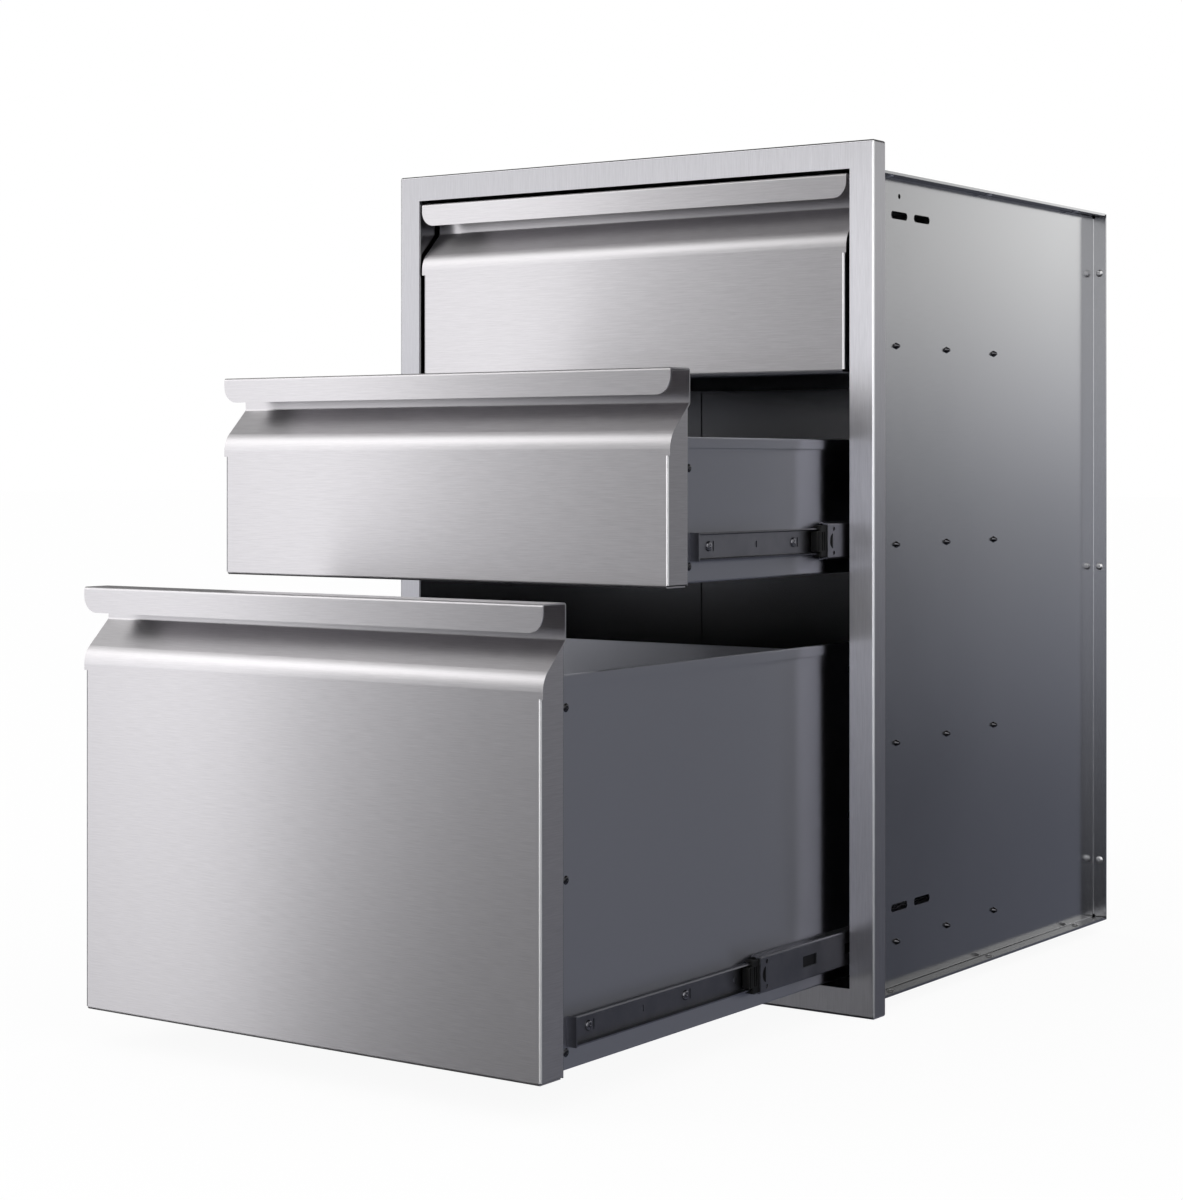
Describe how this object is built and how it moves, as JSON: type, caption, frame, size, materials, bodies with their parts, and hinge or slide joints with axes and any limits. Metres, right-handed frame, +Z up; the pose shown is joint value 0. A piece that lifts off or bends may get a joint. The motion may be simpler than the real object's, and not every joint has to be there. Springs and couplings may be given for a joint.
{
  "type": "outdoor kitchen drawer unit",
  "caption": "Built-in outdoor kitchen drawer unit: a sheet metal box behind a face frame, with drawers on ball bearing slides and bent fronts with a finger channel behind a lip.",
  "frame": {"origin": "middle of the cut-out's sill edge: on the box's underside, in the plane of the wall face that the frame's returns rest on", "axes": "+X to the right seen from the front, +Y into the cut-out, +Z up"},
  "size_m": [0.457, 0.833, 0.66],
  "materials": {
    "front_steel": "brushed stainless",
    "box_steel": "mill stainless",
    "tray_steel": "dull mill steel",
    "slide_zinc": "dark zinc plated",
    "screw_zinc": "bright zinc plated",
    "rivet_aluminium": "satin",
    "black_plastic": "matt moulded"
  },
  "bodies": {
    "cabinet": {"face_frame": "front_steel", "left_side_panel": "box_steel", "right_side_panel": "box_steel", "top_panel": "box_steel", "bottom_panel": "box_steel", "back_panel": "box_steel", "box_rivets": "rivet_aluminium", "slide_cabinet_screws": "screw_zinc", "top_left_slide_cabinet_member": "slide_zinc", "top_right_slide_cabinet_member": "slide_zinc", "middle_left_slide_cabinet_member": "slide_zinc", "middle_right_slide_cabinet_member": "slide_zinc", "bottom_left_slide_cabinet_member": "slide_zinc", "bottom_right_slide_cabinet_member": "slide_zinc"},
    "top_drawer": {"top_drawer_front": "front_steel", "top_drawer_liner": "box_steel", "top_drawer_tray": "tray_steel", "top_drawer_tray_front": "tray_steel", "top_drawer_tray_back": "tray_steel", "top_drawer_tray_rivets": "rivet_aluminium", "top_drawer_front_screws": "screw_zinc", "top_drawer_slide_screws": "screw_zinc", "top_left_slide_drawer_member": "slide_zinc", "top_right_slide_drawer_member": "slide_zinc"},
    "top_slide_middles": {"top_left_slide_middle_member": "slide_zinc", "top_right_slide_middle_member": "slide_zinc", "top_slide_bumpers": "black_plastic"},
    "top_outer_cages": {"top_outer_ball_cages": "slide_zinc"},
    "top_inner_cages": {"top_inner_ball_cages": "slide_zinc"},
    "middle_drawer": {"middle_drawer_front": "front_steel", "middle_drawer_liner": "box_steel", "middle_drawer_tray": "tray_steel", "middle_drawer_tray_front": "tray_steel", "middle_drawer_tray_back": "tray_steel", "middle_drawer_tray_rivets": "rivet_aluminium", "middle_drawer_front_screws": "screw_zinc", "middle_drawer_slide_screws": "screw_zinc", "middle_left_slide_drawer_member": "slide_zinc", "middle_right_slide_drawer_member": "slide_zinc"},
    "middle_slide_middles": {"middle_left_slide_middle_member": "slide_zinc", "middle_right_slide_middle_member": "slide_zinc", "middle_slide_bumpers": "black_plastic"},
    "middle_outer_cages": {"middle_outer_ball_cages": "slide_zinc"},
    "middle_inner_cages": {"middle_inner_ball_cages": "slide_zinc"},
    "bottom_drawer": {"bottom_drawer_front": "front_steel", "bottom_drawer_liner": "box_steel", "bottom_drawer_tray": "tray_steel", "bottom_drawer_tray_front": "tray_steel", "bottom_drawer_tray_back": "tray_steel", "bottom_drawer_tray_rivets": "rivet_aluminium", "bottom_drawer_front_screws": "screw_zinc", "bottom_drawer_slide_screws": "screw_zinc", "bottom_left_slide_drawer_member": "slide_zinc", "bottom_right_slide_drawer_member": "slide_zinc"},
    "bottom_slide_middles": {"bottom_left_slide_middle_member": "slide_zinc", "bottom_right_slide_middle_member": "slide_zinc", "bottom_slide_bumpers": "black_plastic"},
    "bottom_outer_cages": {"bottom_outer_ball_cages": "slide_zinc"},
    "bottom_inner_cages": {"bottom_inner_ball_cages": "slide_zinc"}
  },
  "joints": [
    {"name": "top_outer_slide", "type": "slide", "parent": "cabinet", "child": "top_slide_middles", "axis": [0, -1, 0], "range_m": [0, 0.185]},
    {"name": "top_inner_slide", "type": "slide", "parent": "top_slide_middles", "child": "top_drawer", "axis": [0, -1, 0], "range_m": [0, 0.225]},
    {"name": "top_outer_cage_roll", "type": "slide", "parent": "cabinet", "child": "top_outer_cages", "axis": [0, -1, 0], "range_m": [0, 0.0925]},
    {"name": "top_inner_cage_roll", "type": "slide", "parent": "top_slide_middles", "child": "top_inner_cages", "axis": [0, -1, 0], "range_m": [0, 0.1125]},
    {"name": "middle_outer_slide", "type": "slide", "parent": "cabinet", "child": "middle_slide_middles", "axis": [0, -1, 0], "range_m": [-0.083, 0.102]},
    {"name": "middle_inner_slide", "type": "slide", "parent": "middle_slide_middles", "child": "middle_drawer", "axis": [0, -1, 0], "range_m": [-0.159, 0.066]},
    {"name": "middle_outer_cage_roll", "type": "slide", "parent": "cabinet", "child": "middle_outer_cages", "axis": [0, -1, 0], "range_m": [-0.0415, 0.051]},
    {"name": "middle_inner_cage_roll", "type": "slide", "parent": "middle_slide_middles", "child": "middle_inner_cages", "axis": [0, -1, 0], "range_m": [-0.0795, 0.033]},
    {"name": "bottom_outer_slide", "type": "slide", "parent": "cabinet", "child": "bottom_slide_middles", "axis": [0, -1, 0], "range_m": [-0.18, 0.005]},
    {"name": "bottom_inner_slide", "type": "slide", "parent": "bottom_slide_middles", "child": "bottom_drawer", "axis": [0, -1, 0], "range_m": [-0.208, 0.017]},
    {"name": "bottom_outer_cage_roll", "type": "slide", "parent": "cabinet", "child": "bottom_outer_cages", "axis": [0, -1, 0], "range_m": [-0.09, 0.0025]},
    {"name": "bottom_inner_cage_roll", "type": "slide", "parent": "bottom_slide_middles", "child": "bottom_inner_cages", "axis": [0, -1, 0], "range_m": [-0.104, 0.0085]}
  ],
  "couplings": [
    {"joint": "top_outer_cage_roll", "follows": "top_outer_slide", "ratio": 0.5},
    {"joint": "top_inner_cage_roll", "follows": "top_inner_slide", "ratio": 0.5},
    {"joint": "middle_outer_cage_roll", "follows": "middle_outer_slide", "ratio": 0.5},
    {"joint": "middle_inner_cage_roll", "follows": "middle_inner_slide", "ratio": 0.5},
    {"joint": "bottom_outer_cage_roll", "follows": "bottom_outer_slide", "ratio": 0.5},
    {"joint": "bottom_inner_cage_roll", "follows": "bottom_inner_slide", "ratio": 0.5}
  ]
}
